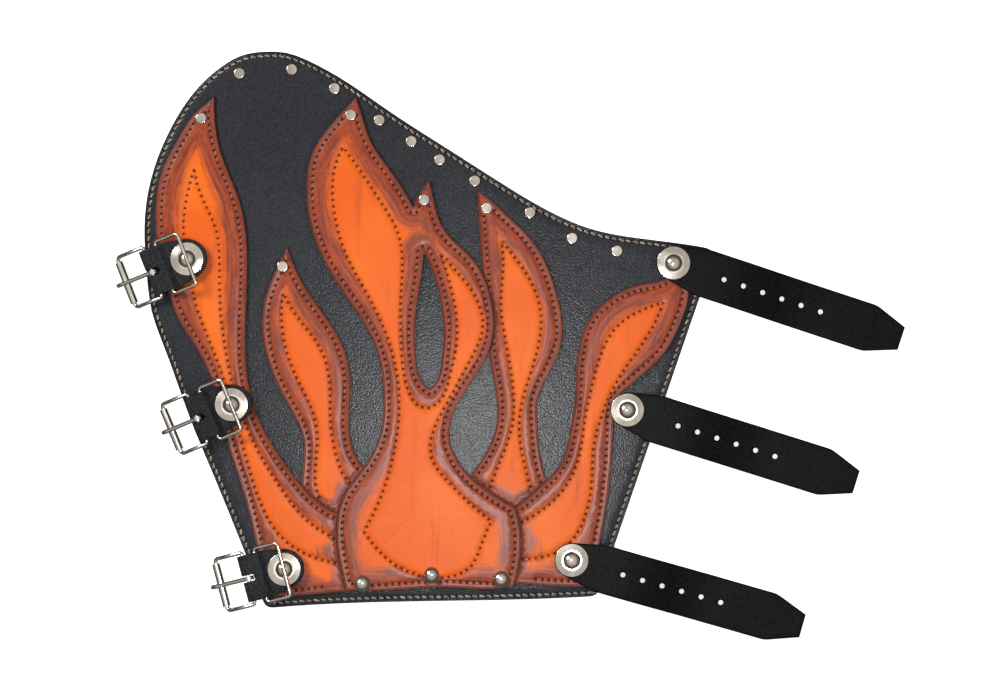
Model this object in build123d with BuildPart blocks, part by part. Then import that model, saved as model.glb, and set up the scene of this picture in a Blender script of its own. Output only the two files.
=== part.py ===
from build123d import *

import os
from math import asin, atan2, cos, degrees, hypot, radians, sin, tan

os.makedirs("parts", exist_ok=True)

# A leather vambrace laid flat, underside on the table. Lengths in millimetres.
# Origin on the lining's underside near the middle; the elbow tip points to +Y, the straps lie to +X.

# Panel and lining
panel_length = 278
panel_width = 284
panel_thickness = 3.0
lining_thickness = 1.2
corner_radius = 4.0
panel_top = lining_thickness + panel_thickness

# Flames
small_flame_thickness = 1.8
side_flame_thickness = 2.1
centre_flame_thickness = 2.4
small_flame_top = panel_top + small_flame_thickness
side_flame_top = panel_top + side_flame_thickness
centre_flame_top = panel_top + centre_flame_thickness

# Stitching
thread_width = 0.8
thread_height = 0.3
row_step = 5.0
row_straightness = 0.005
border_inset = 1.8
flame_inset = 2.6

# Small rivets
rivet_shank_radius = 1.4
rivet_cap_radius = 2.75
rivet_cap_height = 0.9
rivet_cap_rounding = 0.4
rivet_back_radius = 2.75
rivet_back_thickness = 0.6
dome_rivet_radius = 4.2
dome_rivet_height = 2.3
rivet_fit = 0.05

# Strap and chape rivets
post_radius = 2.0
post_back_radius = 5.0
post_back_thickness = 0.8
washer_radius = 8.2
washer_rim_height = 0.5
washer_height = 1.1
washer_dish_radius = 5.2
dome_radius = 4.3
dome_height = 1.9
washer_rounding = 0.1
washer_clearance = 0.1
swivel_fit = 0.06
layer_gap = 0.2
thread_clearance = 0.2

# Straps
strap_width = 24
strap_thickness = 3.0
strap_length = 120
strap_end_radius = 8.6
strap_shoulder = 15
strap_point_length = 16.5
strap_point_width = 11.8
strap_drop_length = 50
strap_flat_margin = 6
hole_count = 6
hole_radius = 1.3
hole_first = 26.5
hole_pitch = 10.2

# Buckles
wire_radius = 1.0
buckle_inner_width = 24.6
buckle_length = 16.4
buckle_camber = 2.0
buckle_heel_radius = 1.4
buckle_front_radius = 2.2
roller_radius = 1.9
roller_end_gap = 0.2
prong_radius = 1.1
prong_overhang = 4.2
prong_tip_drop = 0.9
prong_bend_radius = 5.0
prong_tip_rounding = 0.7
prong_clearance = 0.1

# Chapes, the folded tabs that hold the buckles
chape_thickness = 1.9
chape_width = 23.4
chape_end_radius = 10
chape_bar_distance = 18.4
chape_shoulder = 8.0
chape_ramp_length = 2.6
bar_clearance = 0.1
slot_width = 3.4
slot_inward = 3.8
eye_clearance = 1.0
eye_shoulder = 0.15
keeper_distance = 12.2
keeper_inner_width = 25.4
keeper_corner_radius = 1.8
keeper_dome_gap = 0.3

# Where the chapes cross the panel's left edge, as shares of its width and length
elbow_edge_share = (-0.498, 0.099)
middle_edge_share = (-0.420, -0.164)
wrist_edge_share = (-0.309, -0.443)
chape_stations = {
    "elbow": (elbow_edge_share, 201.1, 21.9),
    "middle": (middle_edge_share, 202.4, 22.1),
    "wrist": (wrist_edge_share, 194.7, 15.7),
}

# How far down the straight right edge the straps cross it, their angles, and their rivets' insets
strap_stations = {
    "elbow": (0.071, -18.3, 18.0),
    "middle": (0.490, -17.5, 16.0),
    "wrist": (0.924, -16.0, 17.9),
}

overrun = 5.0

# Outline points, as shares of the panel's width and length
wrist_left_share = (-0.289, -0.500)
elbow_right_share = (0.503, 0.144)
wrist_right_share = (0.294, -0.478)
panel_edge_shares = [
    wrist_left_share,
    wrist_edge_share,
    (-0.334, -0.378),
    (-0.386, -0.248),
    middle_edge_share,
    (-0.467, -0.032),
    (-0.489, 0.032),
    elbow_edge_share,
    (-0.502, 0.194),
    (-0.491, 0.270),
    (-0.459, 0.356),
    (-0.414, 0.428),
    (-0.361, 0.477),
    (-0.329, 0.494),
    (-0.292, 0.500),
    (-0.252, 0.498),
    (-0.214, 0.484),
    (-0.150, 0.448),
    (-0.070, 0.392),
    (0.035, 0.323),
    (0.141, 0.254),
    (0.220, 0.208),
    (0.282, 0.182),
    (0.352, 0.167),
    elbow_right_share,
]
wrist_edge_shares = [
    wrist_right_share,
    (0.123, -0.485),
    (-0.053, -0.488),
    wrist_left_share,
]

left_flame_tip_share = (-0.378, 0.420)
left_flame_inner_shares = [
    left_flame_tip_share,
    (-0.377, 0.369),
    (-0.362, 0.303),
    (-0.338, 0.243),
    (-0.324, 0.183),
    (-0.321, 0.090),
    (-0.324, -0.027),
    (-0.317, -0.103),
    (-0.289, -0.183),
    (-0.248, -0.248),
    (-0.217, -0.288),
    (-0.168, -0.326),
    (-0.137, -0.336),
]
left_flame_foot_shares = [(-0.137, -0.468), (-0.229, -0.477), (-0.285, -0.482)]
left_flame_outer_shares = [
    (-0.285, -0.482),
    (-0.307, -0.376),
    (-0.329, -0.288),
    (-0.356, -0.201),
    (-0.387, -0.081),
    (-0.414, -0.027),
    (-0.444, 0.023),
    (-0.457, 0.060),
    (-0.477, 0.119),
    (-0.482, 0.171),
    (-0.482, 0.225),
    (-0.470, 0.288),
    (-0.440, 0.348),
    (-0.412, 0.390),
    (-0.391, 0.408),
    left_flame_tip_share,
]

small_left_flame_tip_share = (-0.250, 0.150)
small_left_flame_inner_shares = [
    small_left_flame_tip_share,
    (-0.232, 0.101),
    (-0.191, 0.036),
    (-0.155, -0.022),
    (-0.139, -0.101),
    (-0.140, -0.192),
    (-0.130, -0.225),
    (-0.097, -0.261),
]
small_left_flame_foot_shares = [(-0.097, -0.261), (-0.150, -0.342), (-0.224, -0.306)]
small_left_flame_outer_shares = [
    (-0.224, -0.306),
    (-0.223, -0.240),
    (-0.222, -0.203),
    (-0.255, -0.126),
    (-0.287, -0.047),
    (-0.295, 0.014),
    (-0.291, 0.052),
    (-0.278, 0.091),
    small_left_flame_tip_share,
]

centre_flame_left_tip_share = (-0.130, 0.418)
centre_flame_right_tip_share = (-0.001, 0.269)
centre_flame_notch_share = (-0.029, 0.220)
centre_flame_seam_share = (0.150, -0.318)
centre_flame_heel_share = (-0.148, -0.467)
centre_flame_toe_share = (0.147, -0.459)
centre_flame_left_shares = [
    centre_flame_left_tip_share,
    (-0.177, 0.365),
    (-0.208, 0.315),
    (-0.217, 0.246),
    (-0.208, 0.180),
    (-0.175, 0.103),
    (-0.131, 0.036),
    (-0.093, -0.039),
    (-0.082, -0.112),
    (-0.089, -0.192),
    (-0.112, -0.240),
    (-0.152, -0.298),
    (-0.164, -0.348),
    (-0.158, -0.421),
    centre_flame_heel_share,
]
centre_flame_foot_shares = [
    centre_flame_heel_share,
    (-0.067, -0.467),
    (0.035, -0.462),
    (0.110, -0.465),
    centre_flame_toe_share,
]
centre_flame_seam_shares = [
    centre_flame_toe_share,
    (0.160, -0.399),
    (0.159, -0.357),
    centre_flame_seam_share,
]
centre_flame_right_shares = [
    centre_flame_seam_share,
    (0.098, -0.286),
    (0.055, -0.243),
    (0.035, -0.194),
    (0.040, -0.155),
    (0.067, -0.103),
    (0.104, -0.039),
    (0.113, 0.018),
    (0.104, 0.071),
    (0.078, 0.125),
    (0.037, 0.166),
    (0.018, 0.194),
    (0.008, 0.228),
    centre_flame_right_tip_share,
]
centre_flame_fork_shares = [centre_flame_right_tip_share, (-0.016, 0.250), centre_flame_notch_share]
centre_flame_inner_shares = [
    centre_flame_notch_share,
    (-0.042, 0.246),
    (-0.073, 0.292),
    (-0.105, 0.342),
    (-0.121, 0.392),
    centre_flame_left_tip_share,
]
loop_top_share = (-0.010, 0.139)
loop_shares = [
    loop_top_share,
    (-0.017, 0.081),
    (-0.026, 0.009),
    (-0.025, -0.045),
    (-0.014, -0.090),
    (-0.001, -0.105),
    (0.013, -0.090),
    (0.020, -0.060),
    (0.024, 0.002),
    (0.018, 0.054),
    (0.005, 0.104),
    loop_top_share,
]

small_right_flame_tip_share = (0.083, 0.250)
small_right_flame_inner_shares = [
    small_right_flame_tip_share,
    (0.085, 0.205),
    (0.092, 0.113),
    (0.098, 0.030),
    (0.104, -0.045),
    (0.116, -0.117),
    (0.114, -0.183),
    (0.099, -0.219),
    (0.062, -0.270),
]
small_right_flame_foot_shares = [(0.062, -0.270), (0.132, -0.327), (0.218, -0.300)]
small_right_flame_outer_shares = [
    (0.218, -0.300),
    (0.203, -0.263),
    (0.195, -0.230),
    (0.189, -0.163),
    (0.190, -0.124),
    (0.201, -0.095),
    (0.231, -0.027),
    (0.233, 0.016),
    (0.219, 0.081),
    (0.193, 0.142),
    (0.165, 0.178),
    (0.135, 0.207),
    (0.114, 0.228),
    small_right_flame_tip_share,
]

right_flame_tip_share = (0.436, 0.130)
right_flame_inner_shares = [
    (0.132, -0.327),
    (0.151, -0.317),
    (0.189, -0.284),
    (0.226, -0.245),
    (0.246, -0.183),
    (0.255, -0.119),
    (0.258, -0.060),
    (0.266, -0.013),
    (0.284, 0.027),
    (0.312, 0.054),
    (0.342, 0.073),
    (0.373, 0.083),
    (0.408, 0.090),
    right_flame_tip_share,
]
right_flame_outer_shares = [
    right_flame_tip_share,
    (0.455, 0.062),
    (0.440, 0.011),
    (0.405, -0.051),
    (0.377, -0.078),
    (0.349, -0.103),
    (0.330, -0.122),
    (0.323, -0.158),
    (0.320, -0.227),
    (0.312, -0.306),
    (0.300, -0.377),
    (0.280, -0.462),
]
right_flame_foot_shares = [(0.280, -0.462), (0.220, -0.460), (0.132, -0.454), (0.132, -0.327)]

# Second rows of stitches, as shares of the panel's width and length
left_row_apex_share = (-0.412, 0.300)
left_row_outer_shares = [
    left_row_apex_share,
    (-0.424, 0.257),
    (-0.434, 0.194),
    (-0.428, 0.122),
    (-0.408, 0.031),
    (-0.384, -0.031),
    (-0.350, -0.135),
    (-0.319, -0.248),
    (-0.296, -0.317),
    (-0.261, -0.374),
    (-0.224, -0.401),
    (-0.168, -0.420),
    (-0.140, -0.424),
]
left_row_inner_shares = [
    (-0.140, -0.389),
    (-0.170, -0.372),
    (-0.220, -0.336),
    (-0.254, -0.293),
    (-0.296, -0.225),
    (-0.338, -0.126),
    (-0.356, -0.044),
    (-0.367, 0.045),
    (-0.368, 0.122),
    (-0.374, 0.180),
    (-0.393, 0.225),
    left_row_apex_share,
]
small_left_row_apex_share = (-0.258, 0.072)
small_left_row_outer_shares = [
    small_left_row_apex_share,
    (-0.262, 0.023),
    (-0.257, -0.023),
    (-0.229, -0.099),
    (-0.204, -0.157),
    (-0.199, -0.212),
    (-0.201, -0.284),
    (-0.190, -0.320),
    (-0.184, -0.365),
]
small_left_row_inner_shares = [
    (-0.132, -0.365),
    (-0.120, -0.300),
    (-0.148, -0.264),
    (-0.162, -0.230),
    (-0.172, -0.180),
    (-0.174, -0.112),
    (-0.186, -0.043),
    (-0.230, 0.022),
    small_left_row_apex_share,
]
centre_row_left_apex_share = (-0.152, 0.331)
centre_row_right_apex_share = (0.015, 0.149)
centre_row_heel_share = (-0.117, -0.362)
centre_row_toe_share = (0.076, -0.423)
centre_row_left_shares = [
    centre_row_left_apex_share,
    (-0.170, 0.282),
    (-0.170, 0.218),
    (-0.149, 0.137),
    (-0.103, 0.048),
    (-0.069, -0.034),
    (-0.055, -0.122),
    (-0.062, -0.209),
    (-0.079, -0.277),
    centre_row_heel_share,
]
centre_row_foot_shares = [
    centre_row_heel_share,
    (-0.098, -0.389),
    (-0.053, -0.428),
    centre_row_toe_share,
    (0.092, -0.387),
    (0.110, -0.344),
]
centre_row_right_shares = [
    (0.110, -0.344),
    (0.064, -0.304),
    (0.030, -0.268),
    (0.004, -0.228),
    (0.006, -0.187),
    (0.033, -0.130),
    (0.071, -0.058),
    (0.095, 0.004),
    (0.082, 0.059),
    (0.043, 0.112),
    centre_row_right_apex_share,
]
centre_row_inner_shares = [
    centre_row_right_apex_share,
    (0.037, 0.071),
    (0.047, 0.000),
    (0.033, -0.088),
    (0.008, -0.135),
    (-0.014, -0.139),
    (-0.035, -0.112),
    (-0.048, -0.041),
    (-0.050, 0.036),
    (-0.047, 0.130),
    (-0.052, 0.167),
    (-0.082, 0.226),
    (-0.116, 0.279),
    centre_row_left_apex_share,
]
small_right_row_apex_share = (0.124, 0.164)
small_right_row_inner_shares = [
    small_right_row_apex_share,
    (0.127, 0.099),
    (0.124, 0.040),
    (0.132, -0.020),
    (0.145, -0.104),
    (0.144, -0.170),
    (0.128, -0.221),
    (0.106, -0.279),
    (0.094, -0.345),
]
small_right_row_outer_shares = [
    (0.190, -0.345),
    (0.177, -0.279),
    (0.162, -0.212),
    (0.159, -0.162),
    (0.178, -0.081),
    (0.195, -0.014),
    (0.196, 0.036),
    (0.172, 0.100),
    (0.146, 0.137),
    small_right_row_apex_share,
]
right_row_apex_share = (0.412, 0.052)
right_row_inner_shares = [
    (0.150, -0.350),
    (0.165, -0.342),
    (0.204, -0.317),
    (0.238, -0.280),
    (0.260, -0.232),
    (0.270, -0.170),
    (0.288, -0.083),
    (0.304, -0.032),
    (0.332, 0.011),
    (0.371, 0.036),
    right_row_apex_share,
]
right_row_outer_shares = [
    right_row_apex_share,
    (0.391, 0.000),
    (0.355, -0.055),
    (0.320, -0.113),
    (0.300, -0.165),
    (0.289, -0.214),
    (0.286, -0.277),
    (0.278, -0.324),
    (0.262, -0.364),
    (0.231, -0.397),
    (0.169, -0.413),
    (0.150, -0.413),
]

# Small rivets along the elbow edge, on the flame tips and at the wrist
edge_rivet_shares = [
    (-0.335, 0.461),
    (-0.243, 0.468),
    (-0.168, 0.434),
    (-0.089, 0.377),
    (-0.033, 0.339),
    (0.017, 0.306),
    (0.079, 0.268),
    (0.176, 0.211),
    (0.250, 0.165),
    (0.329, 0.142),
]
left_tip_rivet_share = (-0.402, 0.380)
small_left_tip_rivet_share = (-0.259, 0.114)
centre_tip_rivet_shares = [(-0.139, 0.386), (-0.010, 0.234)]
small_right_tip_rivet_share = (0.100, 0.219)
wrist_rivet_shares = [(-0.119, -0.455), (0.003, -0.440), (0.125, -0.447)]


def place(share):
    """Point on the panel, from shares of its width and its length."""
    return (share[0] * panel_width, share[1] * panel_length)


def places(shares):
    return [place(share) for share in shares]


# Rivet places worked out from the panel's edges
chape_places = {}
for name, (edge_share, angle, inset) in chape_stations.items():
    edge = place(edge_share)
    chape_places[name] = Location(
        (edge[0] - inset * cos(radians(angle)), edge[1] - inset * sin(radians(angle)), 0),
        (0, 0, angle),
    )
strap_places = {}
right_edge_start = Vector(*place(elbow_right_share))
right_edge_end = Vector(*place(wrist_right_share))
for name, (edge_share, angle, inset) in strap_stations.items():
    edge = right_edge_start + (right_edge_end - right_edge_start) * edge_share
    strap_places[name] = Location(
        (edge.X - inset * cos(radians(angle)), edge.Y - inset * sin(radians(angle)), 0),
        (0, 0, angle),
    )
post_places = list(chape_places.values()) + list(strap_places.values())
edge_rivet_places = places(edge_rivet_shares)
small_tip_rivet_places = places([small_left_tip_rivet_share, small_right_tip_rivet_share])
left_tip_rivet_places = places([left_tip_rivet_share])
centre_tip_rivet_places = places(centre_tip_rivet_shares)
wrist_rivet_places = places(wrist_rivet_shares)
small_rivet_places = (
    edge_rivet_places
    + small_tip_rivet_places
    + left_tip_rivet_places
    + centre_tip_rivet_places
    + wrist_rivet_places
)

# Bores of every rivet, and the pockets for their backs
with BuildPart() as rivet_bores:
    with BuildSketch():
        with Locations(*small_rivet_places):
            Circle(rivet_shank_radius + rivet_fit)
        with Locations(*post_places):
            Circle(post_radius + rivet_fit)
    extrude(amount=centre_flame_top + overrun)
with BuildPart() as rivet_pockets:
    with BuildSketch():
        with Locations(*small_rivet_places):
            Circle(rivet_back_radius + rivet_fit)
    extrude(amount=rivet_back_thickness)
    with BuildSketch():
        with Locations(*post_places):
            Circle(post_back_radius + rivet_fit)
    extrude(amount=post_back_thickness)

# Outlines
with BuildSketch() as panel_outline:
    with BuildLine():
        Spline(*places(panel_edge_shares))
        Line(place(elbow_right_share), place(wrist_right_share))
        Spline(*places(wrist_edge_shares))
    make_face()
    fillet(panel_outline.vertices(), corner_radius)
with BuildSketch() as left_flame_outline:
    with BuildLine():
        Spline(*places(left_flame_inner_shares))
        Polyline(place(left_flame_inner_shares[-1]), *places(left_flame_foot_shares))
        Spline(*places(left_flame_outer_shares))
    make_face()
with BuildSketch() as small_left_flame_outline:
    with BuildLine():
        Spline(*places(small_left_flame_inner_shares))
        Polyline(*places(small_left_flame_foot_shares))
        Spline(*places(small_left_flame_outer_shares))
    make_face()
with BuildSketch() as loop_outline:
    with BuildLine():
        Spline(*places(loop_shares))
    make_face()
with BuildSketch() as centre_flame_outline:
    with BuildLine():
        Spline(*places(centre_flame_left_shares))
        Spline(*places(centre_flame_foot_shares))
        Spline(*places(centre_flame_seam_shares))
        Spline(*places(centre_flame_right_shares))
        Spline(*places(centre_flame_fork_shares))
        Spline(*places(centre_flame_inner_shares))
    make_face()
with BuildSketch() as small_right_flame_outline:
    with BuildLine():
        Spline(*places(small_right_flame_inner_shares))
        Polyline(*places(small_right_flame_foot_shares))
        Spline(*places(small_right_flame_outer_shares))
    make_face()
with BuildSketch() as right_flame_outline:
    with BuildLine():
        Spline(*places(right_flame_inner_shares))
        Spline(*places(right_flame_outer_shares))
        Polyline(*places(right_flame_foot_shares))
    make_face()

# Flames as cut: a flame that lies under another stops at its edge
with BuildSketch() as centre_flame_face:
    add(centre_flame_outline.sketch)
    add(loop_outline.sketch, mode=Mode.SUBTRACT)
with BuildSketch() as left_flame_face:
    add(left_flame_outline.sketch)
    add(centre_flame_outline.sketch, mode=Mode.SUBTRACT)
with BuildSketch() as small_left_flame_face:
    add(small_left_flame_outline.sketch)
    add(left_flame_outline.sketch, mode=Mode.SUBTRACT)
    add(centre_flame_outline.sketch, mode=Mode.SUBTRACT)
with BuildSketch() as right_flame_face:
    add(right_flame_outline.sketch)
    add(centre_flame_outline.sketch, mode=Mode.SUBTRACT)
with BuildSketch() as small_right_flame_face:
    add(small_right_flame_outline.sketch)
    add(right_flame_outline.sketch, mode=Mode.SUBTRACT)
    add(centre_flame_outline.sketch, mode=Mode.SUBTRACT)


def chorded(outline):
    """An outline's corners and places along its curves, joined by short straight runs."""
    points = []
    for edge in outline.face().outer_wire().order_edges():
        count = max(1, round(edge.length / row_step))
        points += [edge @ (index / count) for index in range(count)]
    kept = []
    for before, point, after in zip(points[-1:] + points, points, points[1:] + points[:1]):
        start = kept[-1] if kept else before
        run = after - start
        if abs(run.cross(point - start).Z) > row_straightness * run.length:
            kept.append(point)
    return kept


def edge_row(outline, inset):
    """Row of thread along the inside of an outline."""
    with BuildSketch() as inside:
        with BuildLine():
            Polyline(*chorded(outline), close=True)
        make_face()
    with BuildSketch() as row:
        offset(inside.sketch, -inset)
        offset(inside.sketch, -inset - thread_width, mode=Mode.SUBTRACT)
    return row


def second_row(*share_lists):
    """Row of thread along a closed line that runs through the given places."""
    with BuildSketch() as inside:
        with BuildLine():
            for shares, next_shares in zip(share_lists, share_lists[1:] + share_lists[:1]):
                Spline(*places(shares))
                if shares[-1] != next_shares[0]:
                    Line(place(shares[-1]), place(next_shares[0]))
        make_face()
    return edge_row(inside, 0)


left_rows = (
    edge_row(left_flame_outline, flame_inset),
    second_row(left_row_outer_shares, left_row_inner_shares),
)
small_left_rows = (
    edge_row(small_left_flame_outline, flame_inset),
    second_row(small_left_row_outer_shares, small_left_row_inner_shares),
)
centre_rows = (
    edge_row(centre_flame_outline, flame_inset),
    second_row(
        centre_row_left_shares,
        centre_row_foot_shares,
        centre_row_right_shares,
        centre_row_inner_shares,
    ),
)
small_right_rows = (
    edge_row(small_right_flame_outline, flame_inset),
    second_row(small_right_row_inner_shares, small_right_row_outer_shares),
)
right_rows = (
    edge_row(right_flame_outline, flame_inset),
    second_row(right_row_inner_shares, right_row_outer_shares),
)
border_row = edge_row(panel_outline, border_inset)

# Row round the loop in the centre flame
with BuildSketch() as loop_edge:
    with BuildLine():
        Polyline(*chorded(loop_outline), close=True)
    make_face()
with BuildSketch() as loop_row:
    offset(loop_edge.sketch, flame_inset + thread_width)
    offset(loop_edge.sketch, flame_inset, mode=Mode.SUBTRACT)

# Where no thread lies: under the small rivets' heads and round the shanks of the large ones
with BuildSketch() as rivet_heads:
    with Locations(*small_rivet_places):
        Circle(rivet_cap_radius + rivet_fit)
    with Locations(*wrist_rivet_places):
        Circle(dome_rivet_radius + rivet_fit)
    with Locations(*post_places):
        Circle(post_radius + thread_clearance)


def finish(part, name):
    """Names a piece and writes it."""
    part.label = name
    export_step(part, f"parts/{name}.step")


# Lining, with pockets for the rivets' backs
with BuildPart() as lining:
    with BuildSketch():
        add(panel_outline.sketch)
    extrude(amount=lining_thickness)
    add(rivet_bores.part, mode=Mode.SUBTRACT)
    add(rivet_pockets.part, mode=Mode.SUBTRACT)
finish(lining.part, "lining")

# Outer panel, and the thread that lies along its border
with BuildPart() as outer_panel:
    with BuildSketch(Plane.XY.offset(lining_thickness)):
        add(panel_outline.sketch)
    extrude(amount=panel_thickness)
    add(rivet_bores.part, mode=Mode.SUBTRACT)
finish(outer_panel.part, "outer_panel")
with BuildPart() as border_thread:
    with BuildSketch(Plane.XY.offset(panel_top)):
        add(border_row.sketch)
        add(rivet_heads.sketch, mode=Mode.SUBTRACT)
        add(left_flame_face.sketch, mode=Mode.SUBTRACT)
    extrude(amount=thread_height)
finish(border_thread.part, "border_thread")

# Flames, each with two rows of thread
flames = {
    "left_flame": (left_flame_face, left_rows, side_flame_thickness),
    "small_left_flame": (small_left_flame_face, small_left_rows, small_flame_thickness),
    "centre_flame": (centre_flame_face, centre_rows, centre_flame_thickness),
    "small_right_flame": (small_right_flame_face, small_right_rows, small_flame_thickness),
    "right_flame": (right_flame_face, right_rows, side_flame_thickness),
}
for name, (face, rows, thickness) in flames.items():
    with BuildPart() as flame:
        with BuildSketch(Plane.XY.offset(panel_top)):
            add(face.sketch)
        extrude(amount=thickness)
        add(rivet_bores.part, mode=Mode.SUBTRACT)
    finish(flame.part, name)
    for kind, row in zip(("edge", "second"), rows):
        with BuildPart() as thread:
            with BuildSketch(Plane.XY.offset(panel_top + thickness)):
                add(row.sketch)
                if row is centre_rows[0]:
                    add(loop_row.sketch)
                if row is rows[1]:
                    add(rows[0].sketch, mode=Mode.SUBTRACT)
                add(face.sketch, mode=Mode.INTERSECT)
                add(rivet_heads.sketch, mode=Mode.SUBTRACT)
            extrude(amount=thread_height)
        finish(thread.part, f"{name}_{kind}_thread")


def rivet_post(shank, back, back_thickness, top):
    """A rivet's shank with the flat back that it is set on."""
    with BuildPart() as post:
        Cylinder(back, back_thickness, align=(Align.CENTER, Align.CENTER, Align.MIN))
        Cylinder(shank, top, align=(Align.CENTER, Align.CENTER, Align.MIN))
    return post.part


def dome(radius, height):
    """Rivet head as a low dome on a flat base."""
    with BuildPart() as head:
        with BuildSketch(Plane.XZ):
            with BuildLine(Plane.XZ):
                Line((0, 0), (radius, 0))
                TangentArc((0, height), (radius, 0), tangent=(1, 0))
                Line((0, height), (0, 0))
            make_face()
        revolve(axis=Axis.Z)
    return head.part


# Flat caps along the elbow edge and on the flame tips, domes at the wrist
with BuildPart() as flat_cap:
    Cylinder(rivet_cap_radius, rivet_cap_height, align=(Align.CENTER, Align.CENTER, Align.MIN))
    fillet(flat_cap.edges().group_by(Axis.Z)[-1], rivet_cap_rounding)
wrist_dome = dome(dome_rivet_radius, dome_rivet_height)
small_rivets = {
    "edge": ((edge_rivet_places, panel_top, flat_cap.part, "caps"),),
    "tip": (
        (left_tip_rivet_places, side_flame_top, flat_cap.part, "caps"),
        (small_tip_rivet_places, small_flame_top, flat_cap.part, "caps"),
        (centre_tip_rivet_places, centre_flame_top, flat_cap.part, "caps"),
    ),
    "wrist": ((wrist_rivet_places, centre_flame_top, wrist_dome, "domes"),),
}
for kind, rows in small_rivets.items():
    with BuildPart() as heads:
        for rivet_places, top, head, _ in rows:
            with Locations(*[(x, y, top) for x, y in rivet_places]):
                add(head)
    finish(heads.part, f"{kind}_rivet_{rows[0][3]}")
    posts = [
        rivet_post(rivet_shank_radius, rivet_back_radius, rivet_back_thickness, row[1])
        for row in rows
    ]
    with BuildPart() as backs:
        for (rivet_places, *_), post in zip(rows, posts):
            with Locations(*rivet_places):
                add(post)
    finish(backs.part, f"{kind}_rivet_posts")

# Heights of the straps, chapes and buckles over the flames that they cross
tab_bottom = side_flame_top + thread_height + thread_clearance
tab_top = tab_bottom + chape_thickness
bar_height = tab_top + bar_clearance + wire_radius
fold_radius = wire_radius + bar_clearance + chape_thickness
channel_top = bar_height + wire_radius + bar_clearance
upper_tab_bottom = tab_top + layer_gap
upper_tab_top = upper_tab_bottom + chape_thickness
strap_top = tab_bottom + strap_thickness
ramp_foot = washer_radius + layer_gap
ramp_top = ramp_foot + chape_ramp_length
washer_seats = {
    "chape": (list(chape_places.values()), upper_tab_top + washer_clearance),
    "strap": (list(strap_places.values()), strap_top + washer_clearance),
}
with BuildPart() as washer:
    with BuildSketch(Plane.XZ):
        with BuildLine(Plane.XZ):
            Polyline(
                (post_radius + rivet_fit, 0),
                (washer_radius, 0),
                (washer_radius, washer_rim_height),
                (washer_dish_radius, washer_height),
                (post_radius + rivet_fit, washer_height),
                close=True,
            )
        make_face()
    revolve(axis=Axis.Z)
    fillet(washer.edges().filter_by(GeomType.CIRCLE).group_by(SortBy.RADIUS)[-1], washer_rounding)
large_dome = dome(dome_radius, dome_height)
for kind, (seat_places, seat) in washer_seats.items():
    post = rivet_post(post_radius, post_back_radius, post_back_thickness, seat + washer_height)
    with BuildPart() as washers:
        with Locations(*seat_places):
            with Locations((0, 0, seat)):
                add(washer.part)
    finish(washers.part, f"{kind}_rivet_washers")
    with BuildPart() as domes:
        with Locations(*seat_places):
            with Locations((0, 0, seat + washer_height)):
                add(large_dome)
    finish(domes.part, f"{kind}_rivet_domes")
    with BuildPart() as posts:
        with Locations(*seat_places):
            add(post)
    finish(posts.part, f"{kind}_rivet_posts")

# Strap: flat over the panel, down in an easy bend, flat on the table to its point
strap_drop = tab_bottom
strap_bend = 2 * atan2(strap_drop, strap_drop_length)
strap_bend_radius = strap_drop_length / (2 * sin(strap_bend))
strap_flat = max(inset for _, _, inset in strap_stations.values()) + strap_flat_margin
with BuildSketch() as strap_body:
    Circle(strap_end_radius)
    with Locations(((strap_shoulder + strap_length - strap_point_length) / 2, 0)):
        Rectangle(strap_length - strap_point_length - strap_shoulder, strap_width)
    make_hull()
with BuildSketch() as strap_point:
    with BuildLine():
        Polyline(
            (strap_length - strap_point_length, -strap_width / 2),
            (strap_length, -strap_point_width / 2),
            (strap_length, strap_point_width / 2),
            (strap_length - strap_point_length, strap_width / 2),
            close=True,
        )
    make_face()
strap_tail = -strap_end_radius - overrun
inner_bend_radius = strap_bend_radius - strap_thickness / 2
outer_bend_radius = strap_bend_radius + strap_thickness / 2
strap_faces = (
    (tab_bottom, inner_bend_radius, outer_bend_radius),
    (strap_top, outer_bend_radius, inner_bend_radius),
)
with BuildPart() as strap:
    with BuildSketch(Plane.XZ):
        with BuildLine(Plane.XZ):
            for height, first_radius, second_radius in strap_faces:
                Line((strap_tail, height), (strap_flat, height))
                down = JernArc((strap_flat, height), (1, 0), first_radius, -degrees(strap_bend))
                level = JernArc(down @ 1, down % 1, second_radius, degrees(strap_bend))
                Line(level @ 1, (strap_length + overrun, height - tab_bottom))
            Line((strap_tail, tab_bottom), (strap_tail, strap_top))
            Line((strap_length + overrun, 0), (strap_length + overrun, strap_thickness))
        make_face()
    extrude(amount=strap_width, both=True)
    with BuildSketch():
        add(strap_body.sketch)
        add(strap_point.sketch)
    extrude(amount=strap_top + overrun, mode=Mode.INTERSECT)
    with BuildSketch():
        Circle(post_radius + swivel_fit)
        with Locations(*[(hole_first + index * hole_pitch, 0) for index in range(hole_count)]):
            Circle(hole_radius)
    extrude(amount=strap_top + overrun, mode=Mode.SUBTRACT)
for name, location in strap_places.items():
    with BuildPart() as placed:
        with Locations(location):
            add(strap.part)
    finish(placed.part, f"{name}_strap")

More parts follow.
